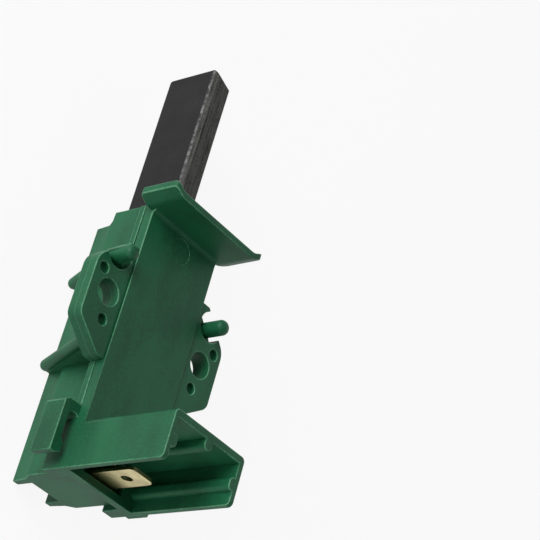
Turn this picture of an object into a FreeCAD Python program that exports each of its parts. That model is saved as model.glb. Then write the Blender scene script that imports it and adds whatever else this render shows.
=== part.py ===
import FreeCAD, Part
import os
from types import SimpleNamespace

import Sketcher
from FreeCAD import Rotation, Vector

# Carbon brush of a small commutator motor, in the moulded holder that is screwed beside the rotor.
# The origin is midway between the two screw holes, on the face of the ears that meets the motor.
# +X runs across the holder, +Y along it towards the carbon's tip, and +Z out of the screw face.

SIZES = {
    # the box of the rear housing, as depths behind the screw face and distances from the origin
    "box_half_width": 6.95,
    "shoulder_front": 14.2,
    "shoulder_back": 16.2,
    "shoulder_half_width": 5.75,
    "box_back_half_width": 5.35,
    "box_back": 20.0,
    "box_back_end": 23.6,
    "mouth_end": 25.5,
    "housing_end": 33.8,
    "tail_wall": 1.1,
    "side_wall": 1.75,
    "back_wall": 1.8,
    "mouth_wall": 3.5,
    "mouth_recess_half_width": 4.4,
    "mouth_recess_depth": 2.0,
    "channel_half_width": 3.85,
    "channel_height": 3.9,
    "channel_length": 4.0,
    "channel_roof": 1.8,
    "pad_start": 1.4,
    "pad_back": 15.0,
    "pad_rise": 0.25,
    # the flange that the cover lies on, and the ears that carry the screws
    "flange_back": 3.6,
    "flange_tail": 21.7,
    "ear_thick": 3.7,
    "ear_half_span": 19.1,
    "ear_root_half": 12.3,
    "ear_root_across": 12.2,
    "ear_tail_corner": 7.1,
    "ear_tip_corner": 5.6,
    "ear_tail_round": 2.4,
    "ear_tip_round": 4.0,
    "screw_hole_across": 14.0,
    "screw_hole_radius": 2.7,
    "collar_radius": 3.8,
    "collar_rise": 0.7,
    "dimple_radius": 1.15,
    "dimple_depth": 0.9,
    "tail_dimple_across": 13.4,
    "tail_dimple_along": 5.6,
    "tip_dimple_across": 16.8,
    "tip_dimple_along": 3.9,
    # the locating pegs in their pockets
    "peg_across": 14.1,
    "peg_along": 8.3,
    "peg_radius": 1.6,
    "peg_height": 4.1,
    "peg_round": 1.3,
    "peg_pocket_along": 8.8,
    "peg_pocket_radius": 3.2,
    "peg_pocket_depth": 2.6,
    # the gussets between ears and box, which end in the four noses that the holder lies on
    "gusset_along": 9.4,
    "gusset_thick": 1.8,
    "gusset_sink": 0.65,
    "rod_radius": 1.2,
    "rod_top": 3.2,
    "rod_across": 13.4,
    "nose_across": 7.0,
    "nose_drop": 0.7,
    # the frames in the box that hold the guide
    "frame_thick": 1.2,
    "frame_first": 24.6,
    "frame_run": 41.0,
    "frame_top": 3.6,
    "frame_sink": 0.3,
    "stop_half_gap": 2.2,
    "stop_thick": 0.9,
    # the front cover
    "plate_half_width": 10.0,
    "plate_front": 0.3,
    "plate_thick": 2.3,
    "plate_end": 22.9,
    "cover_gap": 0.1,
    "rim_gap": 0.15,
    "lip_drop": 1.2,
    "lip_thick": 1.6,
    "lip_half_length": 20.0,
    "mark_radius": 2.6,
    "mark_depth": 0.1,
    "mark_along": 17.9,
    # the wing across the cover's tip end
    "wing_thick": 1.4,
    "wing_front": 9.3,
    "wing_rear": 0.5,
    "wing_near_overhang": 3.9,
    "wing_near_run": 1.2,
    "wing_near_rise": 1.25,
    "wing_far_overhang": 3.4,
    "wing_far_run": 1.0,
    "wing_far_rise": 1.3,
    "wing_corner": 1.0,
    "wing_bend_radius": 3.0,
    "wing_root_round": 1.0,
    # the hood round the terminal
    "tail_end": 34.9,
    "hood_front": 23.0,
    "hood_tip_side": 25.0,
    "hood_wall": 1.2,
    "hood_end_wall": 1.5,
    "hood_corner": 1.0,
    "floor_front": 1.2,
    "floor_thick": 1.8,
    "opening_half_width": 5.3,
    "opening_tail": 33.1,
    "opening_tip": 27.5,
    "centre_rib_half_width": 1.0,
    "centre_rib_height": 2.0,
    "key_rib_tail": 32.2,
    "key_rib_tip": 29.6,
    "key_rib_height": 1.2,
    "rib_round": 0.9,
    "stay_height": 9.3,
    "stay_length": 3.5,
    "stay_thick": 1.0,
    # the skirts and the two spring arms beside the hood
    "skirt_thick": 1.3,
    "skirt_back": 7.2,
    "cheek_thick": 1.5,
    "arm_front": 2.0,
    "arm_back": 7.1,
    "arm_reach": 14.1,
    "arm_thick": 1.8,
    "arm_root_tip": 21.9,
    "arm_root_tail": 24.1,
    "arm_tail": 33.1,
    "arm_bump": 0.9,
    "arm_bump_length": 3.4,
    "arm_corner": 0.8,
    # the carbon, its spring and its lead
    "carbon_width": 5.0,
    "carbon_depth": 13.5,
    "carbon_tip": 62.4,
    "carbon_length": 42.0,
    "carbon_tip_bevel": 1.8,
    "carbon_edge": 0.9,
    "carbon_sharp_edge": 0.25,
    "spigot_radius": 1.65,
    "spigot_height": 1.6,
    "running_gap": 0.06,
    "guide_sheet": 0.5,
    "guide_tail": 28.0,
    "guide_lip": 25.8,
    "guide_scallop": 3.0,
    "guide_scallop_radius": 9.0,
    "guide_fold": 0.6,
    "lead_hole_radius": 1.2,
    "spring_wire": 0.5,
    "spring_radius": 2.1,
    "spring_pitch": 5.0,
    "lead_radius": 0.55,
    "lead_gap": 0.1,
    "lead_socket": 5.0,
    # the terminal
    "tab_width": 6.3,
    "tab_thick": 0.8,
    "tab_top": 8.9,
    "tab_along": 32.2,
    "tab_corner": 1.3,
    "tab_hole_radius": 1.15,
    "tab_hole_height": 4.7,
    "foot_bottom": 14.0,
    "foot_top": 6.0,
    "foot_half_width": 2.0,
}


class Size:
    """A length with its value and its formula in the sheet."""

    def __init__(self, value, formula):
        self.value = value
        self.formula = formula

    def __add__(self, other):
        other = as_size(other)
        return Size(self.value + other.value, f"({self.formula} + {other.formula})")

    def __sub__(self, other):
        other = as_size(other)
        return Size(self.value - other.value, f"({self.formula} - {other.formula})")

    def __neg__(self):
        return Size(-self.value, f"(-1 * {self.formula})")

    def __mul__(self, factor):
        return Size(self.value * factor, f"({self.formula} * {factor})")

    def __truediv__(self, factor):
        return Size(self.value / factor, f"({self.formula} / {factor})")


def as_size(number):
    return number if isinstance(number, Size) else Size(float(number), str(float(number)))


# how far a cut runs past the face that it opens
THROUGH = as_size(1)
# how near two coordinates are that count as the same, and a number that counts as nothing
SAME = 0.02
TRACE = 0.0001
# how many frames hold the guide, and how many flats the spring's wire is drawn with
FRAME_COUNT = 4
WIRE_FLATS = 6
# the lean that a rod starts from, in degrees, before its formula sets it
LEAN = 20


doc = FreeCAD.newDocument("CarbonBrush")
sheet = doc.addObject("Spreadsheet::Sheet", "Sizes")
for row, (alias, number) in enumerate(SIZES.items(), 1):
    sheet.set(f"A{row}", alias)
    sheet.set(f"B{row}", str(number))
    sheet.setAlias(f"B{row}", alias)
doc.recompute()

d = SimpleNamespace(**{alias: Size(number, f"Sizes.{alias}") for alias, number in SIZES.items()})

# levels along Z that several pieces share
plate_back = d.plate_front - d.plate_thick
flange_front = plate_back - d.rim_gap
floor_back = -d.floor_front - d.floor_thick
carbon_front = plate_back - d.rim_gap - d.guide_sheet - d.running_gap
carbon_back = carbon_front - d.carbon_depth
carbon_level = carbon_front - d.carbon_depth / 2
guide_front = carbon_front + d.running_gap + d.guide_sheet
guide_back = carbon_back - d.running_gap - d.guide_sheet

# places across and along that several pieces share
guide_half = d.carbon_width / 2 + d.running_gap + d.guide_sheet
slot_half = guide_half + d.cover_gap
slot_back = guide_back - d.cover_gap
seat_half = d.plate_half_width + d.cover_gap
cavity_half = d.box_half_width - d.side_wall
cavity_back_half = d.box_back_half_width - d.side_wall
cavity_back = d.back_wall - d.box_back
tail = -d.tail_end
housing_tail = -d.housing_end
tail_inside = housing_tail + d.tail_wall
guide_tail = -d.guide_tail
carbon_tail = d.carbon_tip - d.carbon_length
shallow_back = d.channel_height - d.box_back + d.channel_roof
deep_start = guide_tail - d.cover_gap

NORMAL = {"XY_Plane": 1, "XZ_Plane": -1, "YZ_Plane": 1}


def new_body(label):
    body = doc.addObject("PartDesign::Body", label)
    body.Label = label
    return body


def origin_feature(body, role):
    return next(item for item in body.Origin.OriginFeatures if item.Role == role)


def hold(sketch, kind, geometry, point, size):
    """Fix a point's distance from the sketch's origin to a formula."""
    number = sketch.addConstraint(Sketcher.Constraint(kind, -1, 1, geometry, point, size.value))
    sketch.setExpression(f"Constraints[{number}]", size.formula)


def draw_outline(sketch, points):
    """Draw a closed run of straight lines, each corner held to its two formulas."""
    points = [(as_size(across), as_size(along)) for across, along in points]
    spots = [Vector(across.value, along.value, 0) for across, along in points]
    first = sketch.GeometryCount
    count = len(spots)
    for number, spot in enumerate(spots):
        sketch.addGeometry(Part.LineSegment(spot, spots[(number + 1) % count]))
    for number in range(count):
        after = first + (number + 1) % count
        sketch.addConstraint(Sketcher.Constraint("Coincident", first + number, 2, after, 1))
    for number, (across, along) in enumerate(points):
        hold(sketch, "DistanceX", first + number, 1, across)
        hold(sketch, "DistanceY", first + number, 1, along)


def draw_circle(sketch, across, along, radius):
    """Draw a circle with its centre and radius held to formulas."""
    across, along = as_size(across), as_size(along)
    centre = Vector(across.value, along.value, 0)
    number = sketch.addGeometry(Part.Circle(centre, Vector(0, 0, 1), radius.value))
    hold(sketch, "DistanceX", number, 3, across)
    hold(sketch, "DistanceY", number, 3, along)
    held = sketch.addConstraint(Sketcher.Constraint("Radius", number, radius.value))
    sketch.setExpression(f"Constraints[{held}]", radius.formula)


def rectangle(left, bottom, right, top):
    return [(left, bottom), (right, bottom), (right, top), (left, top)]


def stretch(body, kind, name, plane, low, high, outlines=(), circles=()):
    """Pad or pocket outlines and circles between two levels of the axis that the plane faces."""
    low, high = as_size(low), as_size(high)
    forward = NORMAL[plane] > 0
    start = low if (kind == "Pad") == forward else high
    sketch = body.newObject("Sketcher::SketchObject", name + "_profile")
    sketch.AttachmentSupport = [(origin_feature(body, plane), "")]
    sketch.MapMode = "FlatFace"
    level = start if forward else -start
    sketch.AttachmentOffset.Base.z = level.value
    sketch.setExpression(".AttachmentOffset.Base.z", level.formula)
    for points in outlines:
        draw_outline(sketch, points)
    for across, along, radius in circles:
        draw_circle(sketch, across, along, radius)
    feature = body.newObject("PartDesign::" + kind, name)
    feature.Profile = sketch
    feature.setExpression("Length", (high - low).formula)
    body.Tip = feature
    doc.recompute()
    return feature


def mirror(body, name, features):
    """Repeat features on the other side of the middle plane."""
    made = body.newObject("PartDesign::Mirrored", name)
    made.Originals = features
    made.MirrorPlane = (origin_feature(body, "YZ_Plane"), [""])
    body.Tip = made
    doc.recompute()
    return made


def ease(body, kind, name, size, wanted):
    """Fillet or chamfer the edges of the body that the test picks."""
    base = body.Tip
    picked = [f"Edge{number}" for number, edge in enumerate(base.Shape.Edges, 1)
              if not edge.Degenerated and wanted(edge)]
    if not picked:
        raise ValueError(f"{name} finds no edge")
    made = body.newObject("PartDesign::" + kind, name)
    made.Base = (base, picked)
    made.setExpression("Radius" if kind == "Fillet" else "Size", size.formula)
    body.Tip = made
    doc.recompute()
    return made


def runs_along(edge, axis):
    """Tell whether an edge is straight and follows an axis, given as a letter."""
    if not isinstance(edge.Curve, Part.Line):
        return False
    return abs(getattr(edge.Curve.Direction, axis)) > 1 - TRACE


def lies_at(edge, x=None, y=None, z=None, out=None):
    """Tell whether an edge's middle has the given coordinates; out takes either side."""
    middle = edge.CenterOfMass
    pairs = ((x, middle.x), (y, middle.y), (z, middle.z), (out, abs(middle.x)))
    return all(want is None or abs(as_size(want).value - got) < SAME for want, got in pairs)


def place(feature, body, across, along, level):
    """Stand a feature's own origin on the XY plane of its body, held to three formulas."""
    feature.AttachmentSupport = [(origin_feature(body, "XY_Plane"), "")]
    feature.MapMode = "FlatFace"
    feature.AttachmentOffset.Base = Vector(across.value, along.value, level.value)
    for letter, size in (("x", across), ("y", along), ("z", level)):
        feature.setExpression(".AttachmentOffset.Base." + letter, size.formula)


def slanted_rod(body, name, along, foot, top):
    """Pad a round rod between two (across, level) points, its foot rounded by a ball."""
    run, rise = top[0] - foot[0], top[1] - foot[1]
    sketch = body.newObject("Sketcher::SketchObject", name + "_profile")
    sketch.AttachmentOffset.Rotation = Rotation(Vector(0, 1, 0), LEAN)
    place(sketch, body, foot[0], along, foot[1])
    sketch.setExpression(".AttachmentOffset.Rotation.Angle", f"atan({run.formula} / {rise.formula})")
    draw_circle(sketch, 0, 0, d.rod_radius)
    rod = body.newObject("PartDesign::Pad", name)
    rod.Profile = sketch
    rod.setExpression("Length", f"sqrt({run.formula} ^ 2 + {rise.formula} ^ 2)")
    body.Tip = rod
    doc.recompute()
    ball = body.newObject("PartDesign::AdditiveSphere", name + "_nose")
    place(ball, body, foot[0], along, foot[1])
    ball.setExpression("Radius", d.rod_radius.formula)
    body.Tip = ball
    doc.recompute()


def housing_gussets(body):
    """The four gussets edged with slanted rods, and the pads between them."""
    inner = d.box_half_width - d.gusset_sink
    back_inner = d.box_back_half_width - d.gusset_sink
    foot_level = d.rod_radius - d.box_back - d.nose_drop
    for hand, side in (("far", 1), ("near", -1)):
        for end, along in (("tip", d.gusset_along), ("tail", -d.gusset_along)):
            low = along - d.gusset_thick / 2
            name = f"{hand}_{end}"
            stretch(body, "Pad", name + "_gusset", "XZ_Plane", low, low + d.gusset_thick, [[
                (inner * side, -d.flange_back), (d.rod_across * side, -d.flange_back),
                (d.nose_across * side, -d.box_back), (back_inner * side, -d.box_back),
                (inner * side, -d.shoulder_front)]])
            slanted_rod(body, name + "_rod", along, (d.nose_across * side, foot_level),
                        (d.rod_across * side, -d.rod_top))
    pad_face = d.box_half_width + d.pad_rise
    stretch(body, "Pad", "side_pads", "XZ_Plane", d.pad_start, d.gusset_along, [
        rectangle(inner, -d.pad_back, pad_face, -d.flange_back),
        rectangle(-pad_face, -d.pad_back, -inner, -d.flange_back)])


def housing_ears(body):
    """The far ear with its screw hole, dimples and peg, then the same on the near side."""
    ear = stretch(body, "Pad", "ear", "XY_Plane", -d.ear_thick, 0, [[
        (cavity_half, -d.ear_root_half), (d.ear_root_across, -d.ear_root_half),
        (d.ear_half_span, -d.ear_tail_corner), (d.ear_half_span, d.ear_tip_corner),
        (d.ear_root_across, d.ear_root_half), (cavity_half, d.ear_root_half)]])
    collar = stretch(body, "Pad", "screw_collar", "XY_Plane", -d.ear_thick - d.collar_rise,
                     -d.ear_thick, circles=[(d.screw_hole_across, 0, d.collar_radius)])
    hole = stretch(body, "Pocket", "screw_hole", "XY_Plane", -d.ear_thick - d.collar_rise - THROUGH,
                   0, circles=[(d.screw_hole_across, 0, d.screw_hole_radius)])
    dimples = stretch(body, "Pocket", "dimples", "XY_Plane", -d.dimple_depth, 0, circles=[
        (d.tail_dimple_across, -d.tail_dimple_along, d.dimple_radius),
        (d.tip_dimple_across, d.tip_dimple_along, d.dimple_radius)])
    pocket = stretch(body, "Pocket", "peg_pocket", "XY_Plane", -d.peg_pocket_depth, 0,
                     circles=[(d.peg_across, d.peg_pocket_along, d.peg_pocket_radius)])
    peg = stretch(body, "Pad", "peg", "XY_Plane", -d.peg_pocket_depth, d.peg_height,
                  circles=[(d.peg_across, d.peg_along, d.peg_radius)])
    mirror(body, "both_ears", [ear, collar, hole, dimples, pocket, peg])
    ease(body, "Fillet", "tail_corners", d.ear_tail_round, lambda edge: runs_along(edge, "z")
         and lies_at(edge, y=-d.ear_tail_corner, out=d.ear_half_span))
    ease(body, "Fillet", "tip_corners", d.ear_tip_round, lambda edge: runs_along(edge, "z")
         and lies_at(edge, y=d.ear_tip_corner, out=d.ear_half_span))
    ease(body, "Fillet", "peg_ends", d.peg_round, lambda edge: lies_at(edge, z=d.peg_height))


def housing_inside(body):
    """The cavity, the frames that hold the guide, and the slots at both ends."""
    stretch(body, "Pocket", "cover_seat", "XY_Plane", flange_front, THROUGH, [
        rectangle(-seat_half, tail - THROUGH, seat_half, d.mouth_end + THROUGH)])
    stretch(body, "Pocket", "hood_seat", "XY_Plane", floor_back - d.cover_gap, THROUGH, [
        rectangle(-seat_half, tail - THROUGH, seat_half, -d.flange_tail)])
    stretch(body, "Pocket", "deep_cavity", "XZ_Plane", deep_start, d.mouth_end - d.mouth_wall, [[
        (-cavity_half, 0), (-cavity_half, -d.shoulder_front), (-cavity_back_half, cavity_back),
        (cavity_back_half, cavity_back), (cavity_half, -d.shoulder_front), (cavity_half, 0)]])
    stretch(body, "Pocket", "terminal_cavity", "XZ_Plane", tail_inside, deep_start, [
        rectangle(-cavity_half, shallow_back, cavity_half, 0)])
    stretch(body, "Pocket", "channel", "XZ_Plane", housing_tail, housing_tail + d.channel_length, [
        rectangle(-d.channel_half_width, -d.box_back - THROUGH,
                  d.channel_half_width, d.channel_height - d.box_back)])
    frame = stretch(body, "Pad", "frame", "XZ_Plane", -d.frame_first, d.frame_thick - d.frame_first, [[
        (-cavity_half - d.frame_sink, -d.frame_top), (-slot_half, -d.frame_top),
        (-slot_half, slot_back), (slot_half, slot_back), (slot_half, -d.frame_top),
        (cavity_half + d.frame_sink, -d.frame_top),
        (cavity_half + d.frame_sink, -d.shoulder_front),
        (cavity_back_half + d.frame_sink, cavity_back - d.frame_sink),
        (-cavity_back_half - d.frame_sink, cavity_back - d.frame_sink),
        (-cavity_half - d.frame_sink, -d.shoulder_front)]])
    frames = body.newObject("PartDesign::LinearPattern", "frames")
    frames.Originals = [frame]
    frames.Direction = (origin_feature(body, "Y_Axis"), [""])
    frames.Occurrences = FRAME_COUNT
    frames.setExpression("Length", d.frame_run.formula)
    body.Tip = frames
    doc.recompute()
    stop_reach = cavity_half + d.frame_sink
    stop_back = shallow_back - d.frame_sink
    stops = [rectangle(d.stop_half_gap, stop_back, stop_reach, -d.frame_top),
             rectangle(-stop_reach, stop_back, -d.stop_half_gap, -d.frame_top)]
    stretch(body, "Pad", "guide_stops", "XZ_Plane", deep_start - d.stop_thick, deep_start, stops)
    blade_tip = d.cover_gap + d.tab_thick / 2 - d.tab_along
    stretch(body, "Pad", "blade_stops", "XZ_Plane", blade_tip, blade_tip + d.stop_thick, stops)
    stretch(body, "Pocket", "mouth", "XZ_Plane", d.mouth_end - d.mouth_wall - THROUGH,
            d.mouth_end + THROUGH, [rectangle(-slot_half, slot_back, slot_half, 0)])
    stretch(body, "Pocket", "mouth_recess", "XZ_Plane", d.mouth_end - d.mouth_recess_depth,
            d.mouth_end + THROUGH, [
                rectangle(-d.mouth_recess_half_width, slot_back, d.mouth_recess_half_width, 0)])


def rear_housing():
    """The moulded box that holds the guide, with its flange, ears, pegs and gussets."""
    body = new_body("rear_housing")
    stretch(body, "Pad", "box", "XZ_Plane", housing_tail, d.box_back_end, [[
        (-d.box_half_width, flange_front), (-d.box_half_width, -d.shoulder_front),
        (-d.shoulder_half_width, -d.shoulder_back), (-d.box_back_half_width, -d.box_back),
        (d.box_back_half_width, -d.box_back), (d.shoulder_half_width, -d.shoulder_back),
        (d.box_half_width, -d.shoulder_front), (d.box_half_width, flange_front)]])
    stretch(body, "Pad", "mouth_block", "XZ_Plane", d.box_back_end, d.mouth_end, [
        rectangle(-d.box_half_width, -d.shoulder_front, d.box_half_width, -d.flange_back)])
    stretch(body, "Pad", "flange", "XY_Plane", -d.flange_back, flange_front, [
        rectangle(-seat_half, -d.flange_tail, seat_half, d.plate_end)])
    housing_gussets(body)
    housing_ears(body)
    housing_inside(body)
    return body


def cover_hood(body):
    """The hood with its floor, opening and inner ribs."""
    inside = d.plate_half_width - d.hood_wall
    end_inside = -d.hood_tip_side - d.hood_end_wall
    stretch(body, "Pad", "floor", "XY_Plane", floor_back, -d.floor_front, [
        rectangle(-d.plate_half_width, tail, d.plate_half_width, -d.arm_root_tip)])
    stretch(body, "Pad", "hood", "XY_Plane", floor_back, d.hood_front, [[
        (-d.plate_half_width, tail), (-inside, tail), (-inside, end_inside), (inside, end_inside),
        (inside, tail), (d.plate_half_width, tail), (d.plate_half_width, -d.hood_tip_side),
        (-d.plate_half_width, -d.hood_tip_side)]])
    ease(body, "Fillet", "hood_sides", d.hood_corner, lambda edge: runs_along(edge, "z")
         and lies_at(edge, y=-d.hood_tip_side, z=(d.hood_front + d.plate_front) / 2,
                     out=d.plate_half_width))
    ease(body, "Fillet", "hood_mouth", d.hood_corner, lambda edge: runs_along(edge, "x")
         and lies_at(edge, y=tail, z=d.hood_front))
    stretch(body, "Pad", "centre_rib", "XY_Plane", -d.floor_front, d.hood_front, [
        rectangle(-d.centre_rib_half_width, end_inside - d.centre_rib_height,
                  d.centre_rib_half_width, end_inside)])
    ease(body, "Fillet", "centre_rib_round", d.rib_round, lambda edge: runs_along(edge, "z")
         and lies_at(edge, y=end_inside - d.centre_rib_height))
    key_face = inside - d.key_rib_height
    stretch(body, "Pad", "key_ribs", "XY_Plane", -d.floor_front, d.hood_front, [
        rectangle(key_face, -d.key_rib_tail, inside, -d.key_rib_tip),
        rectangle(-inside, -d.key_rib_tail, -key_face, -d.key_rib_tip)])
    ease(body, "Fillet", "key_rib_round", d.rib_round, lambda edge: runs_along(edge, "z")
         and lies_at(edge, out=key_face))
    stretch(body, "Pocket", "opening", "XY_Plane", floor_back - THROUGH, THROUGH - d.floor_front, [
        rectangle(-d.opening_half_width, -d.opening_tail, d.opening_half_width, -d.opening_tip)])
    stretch(body, "Pocket", "guide_clearance", "XY_Plane", floor_back - THROUGH, plate_back, [
        rectangle(-slot_half, guide_tail - d.cover_gap, slot_half, -d.arm_root_tip + THROUGH)])
    stretch(body, "Pad", "stay", "YZ_Plane", -d.stay_thick / 2, d.stay_thick / 2, [[
        (-d.hood_tip_side - d.hood_wall / 2, d.plate_front - d.hood_wall / 2),
        (d.stay_length - d.hood_tip_side, d.plate_front - d.hood_wall / 2),
        (d.stay_length - d.hood_tip_side, d.plate_front),
        (-d.hood_tip_side, d.stay_height),
        (-d.hood_tip_side - d.hood_wall / 2, d.stay_height)]])


def cover_arms(body):
    """A skirt, the cheek that closes its end and a spring arm, then the same on the far side."""
    wall = d.plate_half_width
    inside = wall - d.skirt_thick
    skirt = stretch(body, "Pad", "skirt", "XY_Plane", -d.skirt_back, -d.floor_front, [
        rectangle(inside, tail, wall, -d.arm_root_tip)])
    cheek = stretch(body, "Pad", "cheek", "XY_Plane", -d.skirt_back, floor_back, [
        rectangle(d.box_half_width + d.cover_gap, tail, inside, tail + d.cheek_thick)])
    face = d.arm_reach - d.arm_thick
    bump = face - d.arm_bump
    bump_start = d.arm_bump_length - d.arm_tail
    arm = stretch(body, "Pad", "arm", "XY_Plane", -d.arm_back, -d.arm_front, [[
        (inside, -d.arm_root_tip), (d.arm_reach - d.arm_corner, -d.arm_root_tip),
        (d.arm_reach, -d.arm_root_tip - d.arm_corner), (d.arm_reach, -d.arm_tail),
        (face + d.arm_bump / 2, -d.arm_tail), (bump, d.arm_corner - d.arm_tail),
        (bump, bump_start - d.arm_bump), (face, bump_start),
        (face, -d.arm_root_tail - d.arm_bump), (face - d.arm_bump / 2, -d.arm_root_tail),
        (wall + d.arm_bump / 2, -d.arm_root_tail), (wall, -d.arm_root_tail - d.arm_bump / 2),
        (inside, -d.arm_root_tail - d.arm_bump / 2)]])
    mirror(body, "both_sides", [skirt, cheek, arm])


def front_cover():
    """The moulded cover: plate, wing, hood, skirts and spring arms."""
    body = new_body("front_cover")
    stretch(body, "Pad", "plate", "XY_Plane", plate_back, d.plate_front, [
        rectangle(-d.plate_half_width, -d.hood_tip_side, d.plate_half_width, d.plate_end)])
    wing_back = d.plate_end - d.wing_thick
    near_bend, near_tip = -d.plate_half_width - d.wing_near_run, -d.plate_half_width - d.wing_near_overhang
    far_bend, far_tip = d.plate_half_width + d.wing_far_run, d.plate_half_width + d.wing_far_overhang
    stretch(body, "Pad", "wing", "XY_Plane", -d.wing_rear, d.wing_front, [[
        (near_tip, wing_back + d.wing_near_rise), (near_bend, wing_back),
        (far_bend, wing_back), (far_tip, wing_back + d.wing_far_rise),
        (far_tip, d.plate_end + d.wing_far_rise), (far_bend, d.plate_end),
        (near_bend, d.plate_end), (near_tip, d.plate_end + d.wing_near_rise)]])
    ease(body, "Fillet", "wing_bends", d.wing_bend_radius, lambda edge: runs_along(edge, "z")
         and (lies_at(edge, x=near_bend) or lies_at(edge, x=far_bend)))
    ease(body, "Fillet", "wing_corners", d.wing_corner, lambda edge: runs_along(edge, "y")
         and (lies_at(edge, x=near_tip) or lies_at(edge, x=far_tip)))
    ease(body, "Fillet", "wing_root", d.wing_root_round, lambda edge: runs_along(edge, "x")
         and lies_at(edge, y=wing_back, z=d.plate_front))
    cover_hood(body)
    cover_arms(body)
    lip_out = cavity_half - d.rim_gap
    stretch(body, "Pad", "lips", "XY_Plane", plate_back - d.lip_drop, plate_back, [
        rectangle(lip_out - d.lip_thick, -d.lip_half_length, lip_out, d.lip_half_length),
        rectangle(-lip_out, -d.lip_half_length, d.lip_thick - lip_out, d.lip_half_length)])
    stretch(body, "Pocket", "mould_mark", "XY_Plane", d.plate_front - d.mark_depth, d.plate_front,
            circles=[(0, d.mark_along, d.mark_radius)])
    return body


def brush_guide():
    """The folded brass tube, closed behind the spring and scalloped at the mouth."""
    body = new_body("brush_guide")
    inner = guide_half - d.guide_sheet
    stretch(body, "Pad", "tube", "XZ_Plane", guide_tail, d.guide_lip, [
        rectangle(-guide_half, guide_back, guide_half, guide_front)])
    ease(body, "Fillet", "folds", d.guide_fold, lambda edge: runs_along(edge, "y"))
    stretch(body, "Pocket", "bore", "XZ_Plane", guide_tail + d.guide_sheet, d.guide_lip + THROUGH, [
        rectangle(-inner, guide_back + d.guide_sheet, inner, guide_front - d.guide_sheet)])
    stretch(body, "Pocket", "lead_hole", "XZ_Plane", guide_tail - THROUGH,
            guide_tail + d.guide_sheet + THROUGH, circles=[(0, carbon_level, d.lead_hole_radius)])
    stretch(body, "Pocket", "scallop", "YZ_Plane", -guide_half - THROUGH, guide_half + THROUGH, circles=[
        (d.guide_lip + d.guide_scallop_radius - d.guide_scallop, carbon_level, d.guide_scallop_radius)])
    return body


def carbon_block():
    """The carbon with its worn long edge, bevelled tip and the spigot that centres the spring."""
    body = new_body("carbon_block")
    half = d.carbon_width / 2
    stretch(body, "Pad", "block", "XZ_Plane", carbon_tail, d.carbon_tip, [[
        (-half, carbon_back), (half, carbon_back), (half, carbon_front),
        (d.carbon_edge - half, carbon_front), (-half, carbon_front - d.carbon_edge)]])
    stretch(body, "Pocket", "tip_bevel", "XY_Plane", carbon_back - THROUGH, carbon_front + THROUGH, [[
        (-half, d.carbon_tip), (half + THROUGH, d.carbon_tip + THROUGH),
        (half, d.carbon_tip - d.carbon_tip_bevel)]])
    ease(body, "Chamfer", "sharp_edges", d.carbon_sharp_edge, lambda edge: runs_along(edge, "y")
         and (lies_at(edge, x=half) or lies_at(edge, x=-half, z=carbon_back)))
    stretch(body, "Pad", "spigot", "XZ_Plane", carbon_tail - d.spigot_height, carbon_tail,
            circles=[(0, carbon_level, d.spigot_radius)])
    stretch(body, "Pocket", "lead_socket", "XZ_Plane", carbon_tail - d.spigot_height,
            carbon_tail + d.lead_socket, circles=[(0, carbon_level, d.lead_radius + d.lead_gap)])
    return body


def terminal_tab():
    """The brass blade in the hood, bent under into the foot that is welded to the guide."""
    body = new_body("terminal_tab")
    blade_tail = -d.tab_along - d.tab_thick / 2
    blade_tip = -d.tab_along + d.tab_thick / 2
    web_top = d.tab_thick - d.foot_bottom
    foot_tail = guide_tail - d.tab_thick
    stretch(body, "Pad", "strip", "YZ_Plane", -d.tab_width / 2, d.tab_width / 2, [[
        (blade_tail, -d.foot_bottom), (guide_tail, -d.foot_bottom), (guide_tail, -d.foot_top),
        (foot_tail, -d.foot_top), (foot_tail, web_top), (blade_tip, web_top),
        (blade_tip, d.tab_top), (blade_tail, d.tab_top)]])
    for name, low, high in (("near_relief", -d.tab_width / 2 - THROUGH, -d.foot_half_width),
                            ("far_relief", d.foot_half_width, d.tab_width / 2 + THROUGH)):
        stretch(body, "Pocket", name, "XZ_Plane", blade_tip, guide_tail + THROUGH, [
            rectangle(low, -d.foot_bottom - THROUGH, high, THROUGH - d.foot_top)])
    ease(body, "Fillet", "blade_corners", d.tab_corner, lambda edge: runs_along(edge, "y")
         and lies_at(edge, z=d.tab_top))
    stretch(body, "Pocket", "blade_hole", "XZ_Plane", blade_tail - THROUGH, blade_tip + THROUGH,
            circles=[(0, d.tab_hole_height, d.tab_hole_radius)])
    stretch(body, "Pocket", "foot_hole", "XZ_Plane", foot_tail - d.tab_thick, guide_tail + THROUGH,
            circles=[(0, carbon_level, d.lead_radius + d.lead_gap)])
    return body


def pressure_spring():
    """The coil that pushes the carbon out, from the guide's closed end to the carbon's shoulder."""
    turns_start = guide_tail + d.guide_sheet + d.spring_wire / 2 + d.cover_gap
    turns_end = carbon_tail - d.spring_wire / 2 - d.cover_gap
    coil = doc.addObject("Part::Helix", "coil")
    coil.setExpression("Radius", d.spring_radius.formula)
    coil.setExpression("Pitch", d.spring_pitch.formula)
    coil.setExpression("Height", (turns_end - turns_start).formula)
    wire = doc.addObject("Part::RegularPolygon", "wire_section")
    wire.Polygon = WIRE_FLATS
    wire.setExpression("Circumradius", (d.spring_wire / 2).formula)
    wire.Placement = FreeCAD.Placement(Vector(), Rotation(Vector(1, 0, 0), 90))
    wire.setExpression(".Placement.Base.x", d.spring_radius.formula)
    spring = doc.addObject("Part::Sweep", "pressure_spring")
    spring.Sections = [wire]
    spring.Spine = coil
    spring.Solid = True
    spring.Frenet = True
    spring.Label = "pressure_spring"
    spring.Placement = FreeCAD.Placement(Vector(), Rotation(Vector(1, 0, 0), -90))
    spring.setExpression(".Placement.Base.y", turns_start.formula)
    spring.setExpression(".Placement.Base.z", carbon_level.formula)
    doc.recompute()
    return spring


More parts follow.
